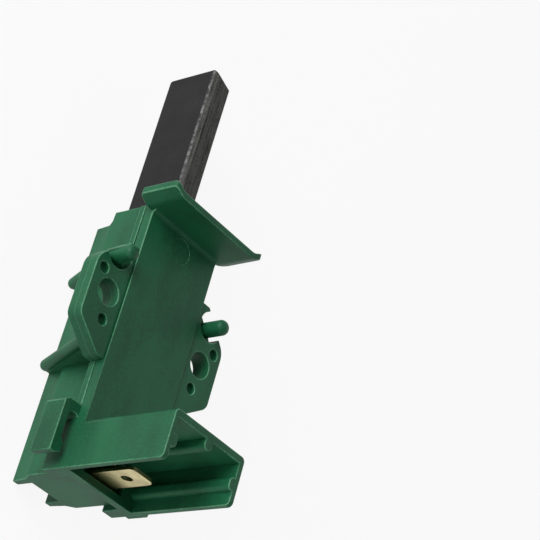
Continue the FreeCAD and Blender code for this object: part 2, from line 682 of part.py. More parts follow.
def shunt_wire():
    """The stranded lead, drawn straight: from its socket in the carbon to the terminal's foot."""
    lead = doc.addObject("Part::Cylinder", "shunt_wire")
    lead.Label = "shunt_wire"
    lead_end = guide_tail - d.tab_thick
    lead.setExpression("Radius", d.lead_radius.formula)
    lead.setExpression("Height", (carbon_tail + d.lead_socket - d.lead_gap - lead_end).formula)
    lead.Placement = FreeCAD.Placement(Vector(), Rotation(Vector(1, 0, 0), -90))
    lead.setExpression(".Placement.Base.y", lead_end.formula)
    lead.setExpression(".Placement.Base.z", carbon_level.formula)
    doc.recompute()
    return lead


def check_document(pieces):
    """Stop if anything failed to compute, a pocket cut nothing or a piece is not one sound solid."""
    for item in doc.Objects:
        if "Invalid" in item.State or "Error" in item.State:
            raise ValueError(f"{item.Name} did not compute")
        if item.TypeId == "PartDesign::Pocket" and item.BaseFeature is not None:
            if item.Shape.Volume > item.BaseFeature.Shape.Volume - TRACE:
                raise ValueError(f"{item.Name} cuts nothing")
    for piece in pieces:
        if piece.Shape.isNull() or not piece.Shape.isValid() or len(piece.Shape.Solids) != 1:
            raise ValueError(f"{piece.Label} is not one sound solid")


pieces = [rear_housing(), front_cover(), brush_guide(), carbon_block(), terminal_tab(),
          pressure_spring(), shunt_wire()]
doc.recompute()
check_document(pieces)
os.makedirs("parts", exist_ok=True)
for piece in pieces:
    piece.Shape.exportStep(f"parts/{piece.Label}.step")
    box = piece.Shape.BoundBox
    print(piece.Label, round(piece.Shape.Volume, 1), [round(number, 2) for number in (
        box.XMin, box.XMax, box.YMin, box.YMax, box.ZMin, box.ZMax)])
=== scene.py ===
import math

import bmesh
import bpy
from bpy.props import FloatProperty, FloatVectorProperty, IntProperty, PointerProperty
from mathutils import Matrix, Vector


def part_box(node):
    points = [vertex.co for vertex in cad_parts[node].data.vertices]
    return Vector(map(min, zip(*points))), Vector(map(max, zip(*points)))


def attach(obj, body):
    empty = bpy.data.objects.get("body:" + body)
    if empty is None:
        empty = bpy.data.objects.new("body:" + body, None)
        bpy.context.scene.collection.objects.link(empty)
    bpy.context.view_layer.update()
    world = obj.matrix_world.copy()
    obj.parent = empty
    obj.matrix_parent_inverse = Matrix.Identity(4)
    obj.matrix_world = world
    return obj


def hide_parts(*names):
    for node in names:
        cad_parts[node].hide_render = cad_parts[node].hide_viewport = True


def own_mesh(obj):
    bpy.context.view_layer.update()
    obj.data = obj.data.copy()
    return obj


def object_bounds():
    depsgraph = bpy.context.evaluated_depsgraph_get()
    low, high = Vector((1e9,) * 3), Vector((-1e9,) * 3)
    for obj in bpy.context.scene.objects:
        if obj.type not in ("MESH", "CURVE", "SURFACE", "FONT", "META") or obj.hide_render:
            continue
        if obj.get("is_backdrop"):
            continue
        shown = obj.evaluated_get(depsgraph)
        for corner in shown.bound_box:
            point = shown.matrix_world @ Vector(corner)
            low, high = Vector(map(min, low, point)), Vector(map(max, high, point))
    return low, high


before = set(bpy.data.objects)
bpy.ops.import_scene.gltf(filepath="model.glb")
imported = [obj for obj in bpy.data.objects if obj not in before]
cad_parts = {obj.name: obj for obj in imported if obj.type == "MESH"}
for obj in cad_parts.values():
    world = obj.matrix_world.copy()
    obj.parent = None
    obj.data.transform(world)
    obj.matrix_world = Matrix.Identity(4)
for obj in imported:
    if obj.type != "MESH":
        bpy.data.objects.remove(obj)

bl_info = {
    "name": "Carbon Brush Finish",
    "version": (1, 0, 0),
    "blender": (4, 5, 0),
    "location": "View3D > Sidebar > Carbon Brush",
    "description": "Dresses a motor's carbon brush and its moulded holder",
    "category": "Object",
}

MM = 0.001
HOLDER = "holder"
BRUSH = "brush"

# the rounding of edges
WELD = 0.01 * MM  # points closer than this are one
FLAT = math.radians(0.5)  # faces that turn less than this are one
FOLD = math.radians(38)  # an edge that folds less than this is smooth
SIDEWAYS = 0.87  # cosine of the smallest angle at which a neighbour leaves an edge sideways
SHARE = 0.45  # how much of the room beside an edge its rounding may take
EDGE_STRIPS = 2  # strips that make an edge round

# the carbon
CORNER_CUTS = 4  # flat cuts that make a corner of the tip round
TIP_BEVEL = 1.8 * MM  # how much longer one broad face is than the other
SQUARE = 0.8  # how squarely a broad face looks along X

# the guide's lip
LIP_LEVELS = (0.3, 0.6)  # how far up the curl it gets points
LIP_INSET = 0.8 * MM  # how far from the outside the curl starts to turn round a corner
WAVE_X = 3.4 * MM  # length of a wave across X
WAVE_Z = 4.6 * MM  # length of a wave across Z
WAVE_DEPTH = 0.5  # how much the waves vary the curl
FLARE = 0.3  # how much of the curl is a straight flare

# the spring's wire and the lead's strands
SPRING_WIRE = 0.25 * MM  # radius of the wire
LEAD_WIDTH = 3.2  # the lead's radius, in strand radii
LAY = 6 * MM  # length of one twist of the lead
WIRE_SIDES = 10  # sides that make the spring's wire round
STRAND_SIDES = 6  # the same for a strand, which is finer
TURN_POINTS = 24  # points in one turn of a wire


def linear(code):
    """The linear colour of an sRGB hex code."""
    parts = [int(code[at:at + 2], 16) / 255 for at in (1, 3, 5)]
    return [p / 12.92 if p <= 0.04045 else ((p + 0.055) / 1.055) ** 2.4 for p in parts] + [1.0]


def colour(name, description, code):
    """A colour setting whose default is a hex code."""
    return FloatVectorProperty(name=name, description=description, subtype="COLOR", size=4, min=0, max=1,
                               default=linear(code))


def length(name, description, millimetres):
    """A length setting whose default is in millimetres."""
    return FloatProperty(name=name, description=description, subtype="DISTANCE", unit="LENGTH", precision=5,
                         min=0, default=millimetres * MM)


class HolderSettings(bpy.types.PropertyGroup):
    """The moulded housing and cover."""

    green: colour("Plastic", "Colour of the moulded plastic", "#17603e")
    green_deep: colour("Plastic flow", "Darker streaks that the melt leaves", "#0f482d")
    # The edge colour is a painted highlight on the rounded edge strips; the real pale fibre specks and the
    # parting line take it too.
    edge: colour("Edge", "Colour of the thin rounded edges", "#58926f")
    edge_radius: length("Edge radius", "Rounding that the mould gives each edge", 0.18)
    seam: length("Parting line", "How far behind the ears' front face the halves of the mould met", 1.8)


class CarbonSettings(bpy.types.PropertyGroup):
    """The carbon block."""

    pressed: colour("Pressed graphite", "Colour of the broad faces", "#0f0e10")
    cloud: colour("Pressed graphite, light", "Paler clouds on the broad faces", "#211f22")
    ground: colour("Ground graphite", "Colour of the narrow faces", "#191918")
    line: colour("Grinding lines", "Colour of the fine lines along the narrow faces", "#4c4c48")
    # This pale grey is a painted highlight along the bevelled corner.
    chamfer_highlight: colour("Graphite chamfer, painted highlight", "Colour of the grains where the bevelled corner is rubbed", "#8e8c8e")
    edge_radius: length("Edge radius", "Rounding of the carbon's edges", 0.12)
    tip_radius: length("Tip radius", "Rounding of the tip's narrow ends", 0.9)
    corner: length("Bevelled corner", "Width of the corner that is ground off along the carbon", 0.9)


class MetalSettings(bpy.types.PropertyGroup):
    """Guide, terminal, spring and lead."""

    guide: colour("Guide brass", "Colour of the folded guide, brown with tarnish", "#7d6338")
    # The cut brass colour is a painted highlight on the rounded strips of the guide's rim.
    cut: colour("Cut brass", "Colour of the guide's bright cut edge", "#e3c79a")
    blade: colour("Terminal brass", "Colour of the stamped blade", "#d3c796")
    steel: colour("Spring steel", "Colour of the spring wire", "#b9b9b8")
    copper: colour("Copper", "Colour of the lead's strands", "#c0764a")
    edge_radius: length("Edge radius", "Rounding of the stamped edges", 0.06)
    cut_radius: length("Cut edge radius", "Rounding of the guide's cut edge", 0.12)
    lip_root: length("Lip root", "How far behind its mouth the guide's wall starts to be lengthened", 5.0)
    lip_base: length("Lip base", "How far behind its mouth the guide starts to curl", 3.6)
    lip_lift: length("Lip lift", "How much the wall is lengthened, so that the lip stands out", 3.5)
    lip_depth: length("Lip depth", "How deep the curled lip is along the guide", 1.5)
    lip_spread: length("Lip spread", "How far the lip curls outwards", 0.4)
    lip_step: length("Lip step", "Spacing of the points that carry the lip's waves", 0.5)
    pitch: length("Coil pitch", "Distance from one turn of the spring to the next", 5.0)
    strands: IntProperty(name="Strands", description="Strands twisted into the lead", min=3, default=7)


def add(tree, kind, inputs=None, **settings):
    """Add a node with its settings; an input is a number or the socket that feeds it."""
    made = tree.nodes.new(kind)
    for name, value in settings.items():
        setattr(made, name, value)
    for name, value in (inputs or {}).items():
        if isinstance(value, bpy.types.NodeSocket):
            tree.links.new(value, made.inputs[name])
        else:
            made.inputs[name].default_value = value
    return made


def new_material(name):
    """An empty material and its node tree."""
    material = bpy.data.materials.new(name)
    material.use_nodes = True
    material.node_tree.nodes.clear()
    return material, material.node_tree


def ramp(tree, factor, stops):
    """A colour ramp through (place, colour) stops."""
    made = add(tree, "ShaderNodeValToRGB", {"Fac": factor})
    elements = made.color_ramp.elements
    while len(elements) < len(stops):
        elements.new(1)
    for element, (place, shade) in zip(elements, stops):
        element.position = place
        element.color = shade
    return made.outputs["Color"]


# polyamide
FLOW = 9 * MM  # distance between flow streaks
FLOW_STRETCH = 0.35  # scale along Y, which draws the streaks out
FIBRE = 0.5 * MM  # length of a glass fibre, whose thickness of 0.01 mm is too fine to show
FIBRE_SHARE = 0.8  # how strongly the fibres show beside the streaks
PARTING_CORE = 0.05 * MM  # half the width of the parting line
PARTING_FADE = 0.13 * MM  # the same with its soft sides
PARTING_TONE = 0.32  # how pale the line is
SPECK_TONE = 0.3  # how pale the specks are


def moulded_plastic(name, face, streak, pale, seam=None):
    """Glass-filled polyamide, injection moulded.

    It gives the eye a satin skin with faint flow streaks, a mottle of fibres just under it, a few pale
    specks, and a fine pale line at the height where the halves of the mould met."""
    material, tree = new_material(name)
    place = add(tree, "ShaderNodeTexCoord").outputs["Object"]
    flow = add(tree, "ShaderNodeMapping", {"Vector": place, "Scale": (1, FLOW_STRETCH, 1)})
    streaks = add(tree, "ShaderNodeTexNoise", {"Vector": flow.outputs["Vector"], "Scale": 1 / FLOW,
                                               "Detail": 3, "Roughness": 0.55})
    fibres = add(tree, "ShaderNodeTexNoise", {"Vector": place, "Scale": 1 / FIBRE, "Detail": 3,
                                              "Roughness": 0.7})
    blend = add(tree, "ShaderNodeMath", {0: fibres.outputs["Fac"], 1: FIBRE_SHARE}, operation="MULTIPLY")
    mixed = add(tree, "ShaderNodeMath", {0: streaks.outputs["Fac"], 1: blend.outputs[0]}, operation="ADD")
    shade = ramp(tree, mixed.outputs[0], [(0.68, streak), (1.0, face)])
    specks = add(tree, "ShaderNodeMapRange", {"Value": fibres.outputs["Fac"], "From Min": 0.66,
                                              "From Max": 0.74, "To Max": SPECK_TONE})
    marks = specks.outputs["Result"]
    if seam is not None:
        height = add(tree, "ShaderNodeSeparateXYZ", {"Vector": place}).outputs["Z"]
        away = add(tree, "ShaderNodeMath", {0: height, 1: seam}, operation="SUBTRACT")
        apart = add(tree, "ShaderNodeMath", {0: away.outputs[0]}, operation="ABSOLUTE")
        line = add(tree, "ShaderNodeMapRange", {"Value": apart.outputs[0], "From Min": PARTING_CORE,
                                                "From Max": PARTING_FADE, "To Min": PARTING_TONE,
                                                "To Max": 0.0})
        both = add(tree, "ShaderNodeMath", {0: marks, 1: line.outputs["Result"]}, operation="MAXIMUM")
        marks = both.outputs[0]
    paled = add(tree, "ShaderNodeMix", {0: marks, 6: shade, 7: pale}, data_type="RGBA")
    rough = add(tree, "ShaderNodeMapRange", {"Value": fibres.outputs["Fac"], "From Min": 0.3, "From Max": 0.7,
                                             "To Min": 0.48, "To Max": 0.6})
    grain = add(tree, "ShaderNodeBump", {"Height": fibres.outputs["Fac"], "Strength": 0.3,
                                         "Distance": 0.02 * MM})
    skin = add(tree, "ShaderNodeBsdfPrincipled", {"Base Color": paled.outputs[2],
                                                  "Roughness": rough.outputs["Result"],
                                                  "Normal": grain.outputs["Normal"], "IOR": 1.53,
                                                  "Specular IOR Level": 0.28})
    add(tree, "ShaderNodeOutputMaterial", {"Surface": skin.outputs["BSDF"]})
    return material


# graphite
GRINDING = 0.4 * MM  # distance between grinding lines, coarser than the real ones so that they show
GRINDING_STRETCH = 0.03  # scale along Y, which draws the lines out
GRIT = 0.35 * MM  # size of the grit, coarser than the real one so that it shows
CLOUDS = 4 * MM  # size of the paler clouds
HIGHLIGHT_GRAIN = 1.1 * MM  # length of a grain of the painted highlight along the bevelled corner
HIGHLIGHT_FULL = 0.16 * MM  # how far from that corner the painted highlight is full
HIGHLIGHT_END = 0.42 * MM  # and where it ends
PRESSED_LINES = 0.3  # how strongly the grinding lines show on the broad faces
GROUND_LINES = 1.0  # and on the narrow ones


def graphite(name, face, line, contrast, chamfer_highlight, corner):
    """Resin-bonded graphite, pressed and ground.

    It gives the eye a nearly black, dull face, with fine lines along its length where it was ground, and pale
    grains along the bevelled corner, a painted highlight."""
    material, tree = new_material(name)
    place = add(tree, "ShaderNodeTexCoord").outputs["Object"]
    drawn = add(tree, "ShaderNodeMapping", {"Vector": place, "Scale": (1, GRINDING_STRETCH, 1)})
    lines = add(tree, "ShaderNodeTexNoise", {"Vector": drawn.outputs["Vector"], "Scale": 1 / GRINDING,
                                             "Detail": 4, "Roughness": 0.75})
    grit = add(tree, "ShaderNodeTexNoise", {"Vector": place, "Scale": 1 / GRIT, "Detail": 3})
    cloud = add(tree, "ShaderNodeTexNoise", {"Vector": place, "Scale": 1 / CLOUDS, "Detail": 3})
    ground = add(tree, "ShaderNodeMapRange", {"Value": lines.outputs["Fac"], "From Min": 0.4,
                                              "From Max": 0.62, "To Max": contrast})
    mixed = add(tree, "ShaderNodeMath", {0: cloud.outputs["Fac"], 1: ground.outputs["Result"]},
                operation="ADD")
    mottled = add(tree, "ShaderNodeMath", {0: grit.outputs["Fac"], 1: mixed.outputs[0]}, operation="MULTIPLY")
    shade = ramp(tree, mottled.outputs[0], [(0.2, face), (0.6, line)])
    # Painted highlight: a paler band along the bevelled corner, broken up into grains.
    across = add(tree, "ShaderNodeVectorMath", {0: place, 1: (1, 0, 1)}, operation="MULTIPLY")
    away = add(tree, "ShaderNodeVectorMath", {0: across.outputs[0], 1: (corner[0], 0, corner[1])},
               operation="DISTANCE")
    near = add(tree, "ShaderNodeMapRange", {"Value": away.outputs["Value"], "From Min": HIGHLIGHT_FULL,
                                            "From Max": HIGHLIGHT_END, "To Min": 1.0, "To Max": 0.0})
    highlight_grains = add(tree, "ShaderNodeTexNoise", {"Vector": place, "Scale": 1 / HIGHLIGHT_GRAIN, "Detail": 3,
                                             "Roughness": 0.7})
    grains = add(tree, "ShaderNodeMapRange", {"Value": highlight_grains.outputs["Fac"], "From Min": 0.42,
                                              "From Max": 0.62, "To Min": 0.1, "To Max": 0.8})
    highlight_share = add(tree, "ShaderNodeMath", {0: near.outputs["Result"], 1: grains.outputs["Result"]},
                 operation="MULTIPLY")
    paled = add(tree, "ShaderNodeMix", {0: highlight_share.outputs[0], 6: shade, 7: chamfer_highlight}, data_type="RGBA")
    bump = add(tree, "ShaderNodeBump", {"Height": mottled.outputs[0], "Strength": 0.4, "Distance": 0.03 * MM})
    skin = add(tree, "ShaderNodeBsdfPrincipled", {"Base Color": paled.outputs[2], "Roughness": 0.6,
                                                  "Normal": bump.outputs["Normal"], "IOR": 1.7,
                                                  "Specular IOR Level": 0.15})
    add(tree, "ShaderNodeOutputMaterial", {"Surface": skin.outputs["BSDF"]})
    return material


# brass, steel and copper
ROLLING = 0.25 * MM  # distance between rolling lines, coarser than the real ones so that they show
ROLLING_STRETCH = 0.06  # scale along Z, which draws the lines out
TARNISH = 3 * MM  # size of a patch of tarnish
TARNISH_TONE = 0.72  # how light a patch is beside clean metal
DULLER = 0.12  # how much rougher a patch is than the metal
SMOOTHER = 0.05  # how much smoother the cleanest spots are


def sheet_metal(name, tone, roughness):
    """Rolled strip or drawn wire.

    It gives the eye bright metal with fine lines and a little tarnish."""
    material, tree = new_material(name)
    place = add(tree, "ShaderNodeTexCoord").outputs["Object"]
    rolled = add(tree, "ShaderNodeMapping", {"Vector": place, "Scale": (1, 1, ROLLING_STRETCH)})
    lines = add(tree, "ShaderNodeTexNoise", {"Vector": rolled.outputs["Vector"], "Scale": 1 / ROLLING,
                                             "Detail": 2})
    cloud = add(tree, "ShaderNodeTexNoise", {"Vector": place, "Scale": 1 / TARNISH, "Detail": 3})
    dull = [part * TARNISH_TONE for part in tone[:3]] + [1.0]
    shade = ramp(tree, cloud.outputs["Fac"], [(0.3, dull), (0.6, tone)])
    rough = add(tree, "ShaderNodeMapRange", {"Value": cloud.outputs["Fac"], "To Min": roughness + DULLER,
                                             "To Max": roughness - SMOOTHER})
    bump = add(tree, "ShaderNodeBump", {"Height": lines.outputs["Fac"], "Strength": 0.2,
                                        "Distance": 0.01 * MM})
    skin = add(tree, "ShaderNodeBsdfPrincipled", {"Base Color": shade, "Metallic": 1.0,
                                                  "Roughness": rough.outputs["Result"],
                                                  "Normal": bump.outputs["Normal"]})
    add(tree, "ShaderNodeOutputMaterial", {"Surface": skin.outputs["BSDF"]})
    return material


def finished(piece, name):
    """Apply what is live on a piece, leaving a plain mesh."""
    mesh = bpy.data.meshes.new_from_object(piece.evaluated_get(bpy.context.evaluated_depsgraph_get()))
    mesh.name = name
    piece.modifiers.clear()
    piece.data = mesh


def round_corner(shape, point, first, second, radius):
    """Round the corner where two faces with these normals meet in a point, by a few flat cuts."""
    middle = point - radius * (first + second)
    for step in range(1, CORNER_CUTS + 1):
        turn = math.pi / 2 * step / (CORNER_CUTS + 1)
        facing = math.cos(turn) * first + math.sin(turn) * second
        cut = bmesh.ops.bisect_plane(shape, geom=[*shape.verts, *shape.edges, *shape.faces], dist=WELD,
                                     plane_co=middle + radius * facing, plane_no=facing, clear_outer=True)
        rim = [item for item in cut["geom_cut"] if isinstance(item, bmesh.types.BMEdge)]
        bmesh.ops.edgeloop_fill(shape, edges=rim)


def past(shape, level):
    """The verts, edges and faces that lie past a level along Y."""
    return [item for group in (shape.verts, shape.edges, shape.faces) for item in group
            if all(corner.co.y > level - WELD for corner in getattr(item, "verts", [item]))]


def curl_lip(shape, root, base, lift, depth, spread, spacing):
    """Draw a tube's mouth out into a thin lip that curls outwards in waves.

    Root and base are levels along Y. The wall is lengthened between them, and past base it curls and is as
    deep as depth says."""
    low = Vector([min(corner.co[axis] for corner in shape.verts) for axis in range(3)])
    high = Vector([max(corner.co[axis] for corner in shape.verts) for axis in range(3)])
    middle = (low + high) / 2
    for level in (root, base, *[base + share * (high.y - base) for share in LIP_LEVELS]):
        bmesh.ops.bisect_plane(shape, geom=past(shape, low.y if level == root else root), dist=WELD,
                               plane_co=(0, level, 0), plane_no=(0, 1, 0))
    for axis, half in ((0, (high.x - low.x) / 2), (2, (high.z - low.z) / 2)):
        steps = int(half / spacing)
        facing = Vector([float(axis == other) for other in range(3)])
        for step in range(-steps, steps + 1):
            bmesh.ops.bisect_plane(shape, geom=past(shape, base), dist=WELD,
                                   plane_co=middle + step * spacing * facing, plane_no=facing)
    for corner in shape.verts:
        if corner.co.y > base:
            rise = (corner.co.y - base) / (high.y - base)
            away = corner.co - middle
            out = Vector((math.copysign(max(0, abs(away.x) - (high.x - low.x) / 2 + LIP_INSET), away.x), 0,
                          math.copysign(max(0, abs(away.z) - (high.z - low.z) / 2 + LIP_INSET), away.z)))
            wave = 1 + WAVE_DEPTH * math.sin(2 * math.pi * (away.x / WAVE_X + away.z / WAVE_Z))
            corner.co += spread * wave * (FLARE + (1 - FLARE) * rise) * rise * out.normalized()
            corner.co.y = base + lift + depth * rise
        elif corner.co.y > root:
            corner.co.y += lift * (corner.co.y - root) / (base - root)


def room(edge):
    """Length of the shortest edge that leaves an edge sideways: its rounding has to stay inside that."""
    along = (edge.verts[1].co - edge.verts[0].co).normalized()
    sideways = []
    for corner in edge.verts:
        for other in corner.link_edges:
            across = other.other_vert(corner).co - corner.co
            if abs(across.normalized().dot(along)) < SIDEWAYS:
                sideways.append(across.length)
    return min(sideways)


def weigh(shape, radius):
    """Let each outward edge be rounded as far as it has room, and keep each inward edge crisp."""
    weight = shape.edges.layers.float.new("bevel_weight_edge")
    for edge in shape.edges:
        fold = edge.calc_face_angle_signed()
        edge.smooth = abs(fold) < FOLD
        if fold > FOLD:
            edge[weight] = min(1, SHARE * room(edge) / radius)


def dress(node, name, materials, edge_radius, body, trim=None):
    """A copy of a solid, trimmed, with its edges rounded and the rounded strips in the last material."""
    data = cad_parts[node].data.copy()
    data.materials.clear()
    for material in materials:
        data.materials.append(material)
    shape = bmesh.new()
    shape.from_mesh(data)
    bmesh.ops.remove_doubles(shape, verts=shape.verts, dist=WELD)
    bmesh.ops.dissolve_limit(shape, angle_limit=FLAT, verts=shape.verts, edges=shape.edges)
    if trim:
        trim(shape)
    for face in shape.faces:
        face.material_index = 0
        face.smooth = True
    weigh(shape, edge_radius)
    shape.to_mesh(data)
    shape.free()
    piece = bpy.data.objects.new(name, data)
    bpy.context.scene.collection.objects.link(piece)
    bevel = piece.modifiers.new("edges", "BEVEL")
    bevel.width = edge_radius
    bevel.segments = EDGE_STRIPS
    bevel.limit_method = "WEIGHT"
    bevel.use_clamp_overlap = False
    # On the holder and the guide the last material is paler, a painted highlight on the rounded strips.
    bevel.material = len(materials) - 1
    flat = piece.modifiers.new("flat faces", "WEIGHTED_NORMAL")
    flat.keep_sharp = True
    finished(piece, name)
    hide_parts(node)
    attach(piece, body)
    return piece


def grow(name, tree, material, node):
    """Run a node tree that makes a piece, and keep its result as a plain mesh."""
    piece = bpy.data.objects.new(name, bpy.data.meshes.new(name))
    bpy.context.scene.collection.objects.link(piece)
    piece.modifiers.new("grow", "NODES").node_group = tree
    finished(piece, name)
    piece.data.materials.clear()
    piece.data.materials.append(material)
    for face in piece.data.polygons:
        face.use_smooth = True
    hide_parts(node)
    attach(piece, HOLDER)
    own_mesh(piece)


def new_tree(name, sizes):
    """A geometry tree with one named input for each size."""
    tree = bpy.data.node_groups.new(name, "GeometryNodeTree")
    for label, value in sizes.items():
        kind = "NodeSocketInt" if isinstance(value, int) else "NodeSocketFloat"
        tree.interface.new_socket(label, in_out="INPUT", socket_type=kind).default_value = value
    tree.interface.new_socket("Geometry", in_out="OUTPUT", socket_type="NodeSocketGeometry")
    return tree, add(tree, "NodeGroupInput").outputs


def end_tree(tree, geometry, material):
    """Finish a tree: real geometry in its material."""
    real = add(tree, "GeometryNodeRealizeInstances", {"Geometry": geometry})
    coated = add(tree, "GeometryNodeSetMaterial", {"Geometry": real.outputs["Geometry"],
                                                   "Material": material})
    add(tree, "NodeGroupOutput", {"Geometry": coated.outputs["Geometry"]})


def wound(tree, turns, radius, span):
    """A spiral along Y."""
    made = add(tree, "GeometryNodeCurveSpiral", {"Resolution": TURN_POINTS, "Rotations": turns,
                                                 "Start Radius": radius, "End Radius": radius,
                                                 "Height": span})
    laid = add(tree, "GeometryNodeTransform", {"Geometry": made.outputs["Curve"],
                                               "Rotation": (-math.pi / 2, 0, 0)})
    return laid.outputs["Geometry"]


def drawn_wire(tree, curve, radius, sides):
    """Round wire along a curve."""
    section = add(tree, "GeometryNodeCurvePrimitiveCircle", {"Resolution": sides, "Radius": radius})
    made = add(tree, "GeometryNodeCurveToMesh", {"Curve": curve, "Profile Curve": section.outputs["Curve"],
                                                 "Fill Caps": True})
    return made.outputs["Mesh"]


class CARBON_BRUSH_OT_holder(bpy.types.Operator):
    """Make the moulded housing and its cover."""

    bl_idname = "carbon_brush.holder"
    bl_label = "Moulded holder"

    def execute(self, context):
        settings = context.scene.brush_holder
        face, deep, pale = settings.green[:], settings.green_deep[:], settings.edge[:]
        lined = moulded_plastic("Moulded green polyamide with parting line", face, deep, pale, -settings.seam)
        plain = moulded_plastic("Moulded green polyamide", face, deep, pale)
        # The rounded edge strips are paler green, a painted highlight.
        edge = moulded_plastic("Rounded polyamide edge, painted highlight", pale, face, pale)
        dress("rear_housing", "housing", [lined, edge], settings.edge_radius, HOLDER)
        dress("front_cover", "cover", [plain, edge], settings.edge_radius, HOLDER)
        return {"FINISHED"}


class CARBON_BRUSH_OT_carbon(bpy.types.Operator):
    """Make the carbon block."""

    bl_idname = "carbon_brush.carbon"
    bl_label = "Carbon"

    def execute(self, context):
        settings = context.scene.brush_carbon
        low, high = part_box("carbon_block")
        # The pale grains along the bevelled corner are a painted highlight.
        chamfer_highlight = settings.chamfer_highlight[:]
        corner = (low.x, high.z - settings.corner)
        broad = graphite("Pressed graphite", settings.pressed[:], settings.cloud[:], PRESSED_LINES, chamfer_highlight,
                         corner)
        narrow = graphite("Ground graphite", settings.ground[:], settings.line[:], GROUND_LINES, chamfer_highlight,
                          corner)
        lean = TIP_BEVEL / (high.x - low.x)
        tip = Vector((lean, 1, 0)).normalized()
        cuts = [(Vector((low.x, high.y, side.z)), tip, Vector((0, 0, facing)))
                for side, facing in ((low, -1), (high, 1))]
        carbon = dress("carbon_block", "carbon", [broad, narrow], settings.edge_radius, BRUSH,
                       lambda shape: [round_corner(shape, *cut, settings.tip_radius) for cut in cuts])
        for side in carbon.data.polygons:
            side.material_index = 0 if abs(side.normal.x) > SQUARE else 1
        return {"FINISHED"}


class CARBON_BRUSH_OT_brass(bpy.types.Operator):
    """Make the folded guide and the stamped terminal."""

    bl_idname = "carbon_brush.brass"
    bl_label = "Guide and terminal"

    def execute(self, context):
        settings = context.scene.brush_metal
        guide = sheet_metal("Rolled brass", settings.guide[:], roughness=0.34)
        # The guide's rounded rim strips are bright brass, a painted highlight.
        cut = sheet_metal("Brass rim, painted highlight", settings.cut[:], roughness=0.26)
        blade = sheet_metal("Tinned brass", settings.blade[:], roughness=0.3)
        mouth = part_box("brush_guide")[1].y
        dress("brush_guide", "guide", [guide, cut], settings.cut_radius, HOLDER,
              lambda shape: curl_lip(shape, mouth - settings.lip_root, mouth - settings.lip_base,
                                     settings.lip_lift, settings.lip_depth, settings.lip_spread,
                                     settings.lip_step))
        dress("terminal_tab", "terminal", [blade], settings.edge_radius, HOLDER)
        return {"FINISHED"}


class CARBON_BRUSH_OT_spring(bpy.types.Operator):
    """Wind the pressure spring."""

    bl_idname = "carbon_brush.spring"
    bl_label = "Spring"

    def execute(self, context):
        settings = context.scene.brush_metal
        low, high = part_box("pressure_spring")
        material = sheet_metal("Drawn spring steel", settings.steel[:], roughness=0.3)
        tree, size = new_tree("spring", {"Pitch": settings.pitch, "Wire radius": SPRING_WIRE,
                                         "Coil radius": (high.x - low.x) / 2 - SPRING_WIRE,
                                         "Span": high.y - low.y - 2 * SPRING_WIRE})
        turns = add(tree, "ShaderNodeMath", {0: size["Span"], 1: size["Pitch"]}, operation="DIVIDE")
        coil = wound(tree, turns.outputs[0], size["Coil radius"], size["Span"])
        made = add(tree, "GeometryNodeTransform", {
            "Geometry": drawn_wire(tree, coil, size["Wire radius"], WIRE_SIDES),
            "Translation": (0, low.y + SPRING_WIRE, (low.z + high.z) / 2)})
        end_tree(tree, made.outputs["Geometry"], material)
        grow("spring", tree, material, "pressure_spring")
        return {"FINISHED"}


class CARBON_BRUSH_OT_lead(bpy.types.Operator):
    """Twist the stranded lead."""

    bl_idname = "carbon_brush.lead"
    bl_label = "Lead"

    def execute(self, context):
        settings = context.scene.brush_metal
        low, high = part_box("shunt_wire")
        outer = (high.x - low.x) / 2
        strand = outer / LEAD_WIDTH
        material = sheet_metal("Bare copper strand", settings.copper[:], roughness=0.35)
        tree, size = new_tree("lead", {"Strands": settings.strands, "Strand radius": strand,
                                       "Lay": LAY, "Span": high.y - low.y})
        turns = add(tree, "ShaderNodeMath", {0: size["Span"], 1: size["Lay"]}, operation="DIVIDE")
        curve = wound(tree, turns.outputs[0], outer - strand, size["Span"])
        seats = add(tree, "GeometryNodeMeshLine", {"Count": size["Strands"], "Offset": (0, 0, 0)})
        share = add(tree, "ShaderNodeMath", {0: 2 * math.pi, 1: size["Strands"]}, operation="DIVIDE")
        turn = add(tree, "ShaderNodeMath", {0: add(tree, "GeometryNodeInputIndex").outputs[0],
                                            1: share.outputs[0]}, operation="MULTIPLY")
        angle = add(tree, "ShaderNodeCombineXYZ", {"Y": turn.outputs[0]})
        ring = add(tree, "GeometryNodeInstanceOnPoints", {
            "Points": seats.outputs["Mesh"],
            "Instance": drawn_wire(tree, curve, size["Strand radius"], STRAND_SIDES),
            "Rotation": angle.outputs["Vector"]})
        made = add(tree, "GeometryNodeTransform", {"Geometry": ring.outputs["Instances"],
                                                   "Translation": (0, low.y, (low.z + high.z) / 2)})
        end_tree(tree, made.outputs["Geometry"], material)
        grow("lead", tree, material, "shunt_wire")
        return {"FINISHED"}


# where the camera stands and how it is turned, found from the perspective of the photographed holder
CAMERA_PLACE = Vector((-225.09, -168.74, 253.90)) * MM
CAMERA_RIGHT = Vector((0.5919, 0.2381, 0.7700))
CAMERA_UP = Vector((-0.5222, 0.8411, 0.1413))
CAMERA_LENS = 130.79  # millimetres
CAMERA_SENSOR = 36  # millimetres
CAMERA_NEAR = 0.01  # metres
CAMERA_FAR = 20  # metres

# the room
FLOOR_REACH = 3.0  # metres to each side
PAPER_WHITE = 0.9  # how much of the paper is seen as plain white
ROOM_LIGHT = 0.5  # how strongly the walls light the object
WALL_TOP = 0.2  # height, as a direction's Z, at which the walls start to darken
CEILING_EDGE = 0.6  # height at which they are as dark as the ceiling
CEILING = 0.25  # how light the ceiling is beside the walls

# the soft boxes: direction from the object's middle, distance and width in metres, power in watts
MIDDLE = Vector((0, 10, 0)) * MM
LAMPS = {
    "key": ((-0.9, 0.25, 0.35), 0.7, 0.45, 4.4),
    "fill": ((-0.3, -0.9, 0.2), 0.9, 0.6, 1.5),
    "far side": ((0.85, 0.3, 0.4), 0.9, 0.6, 1.2),
}


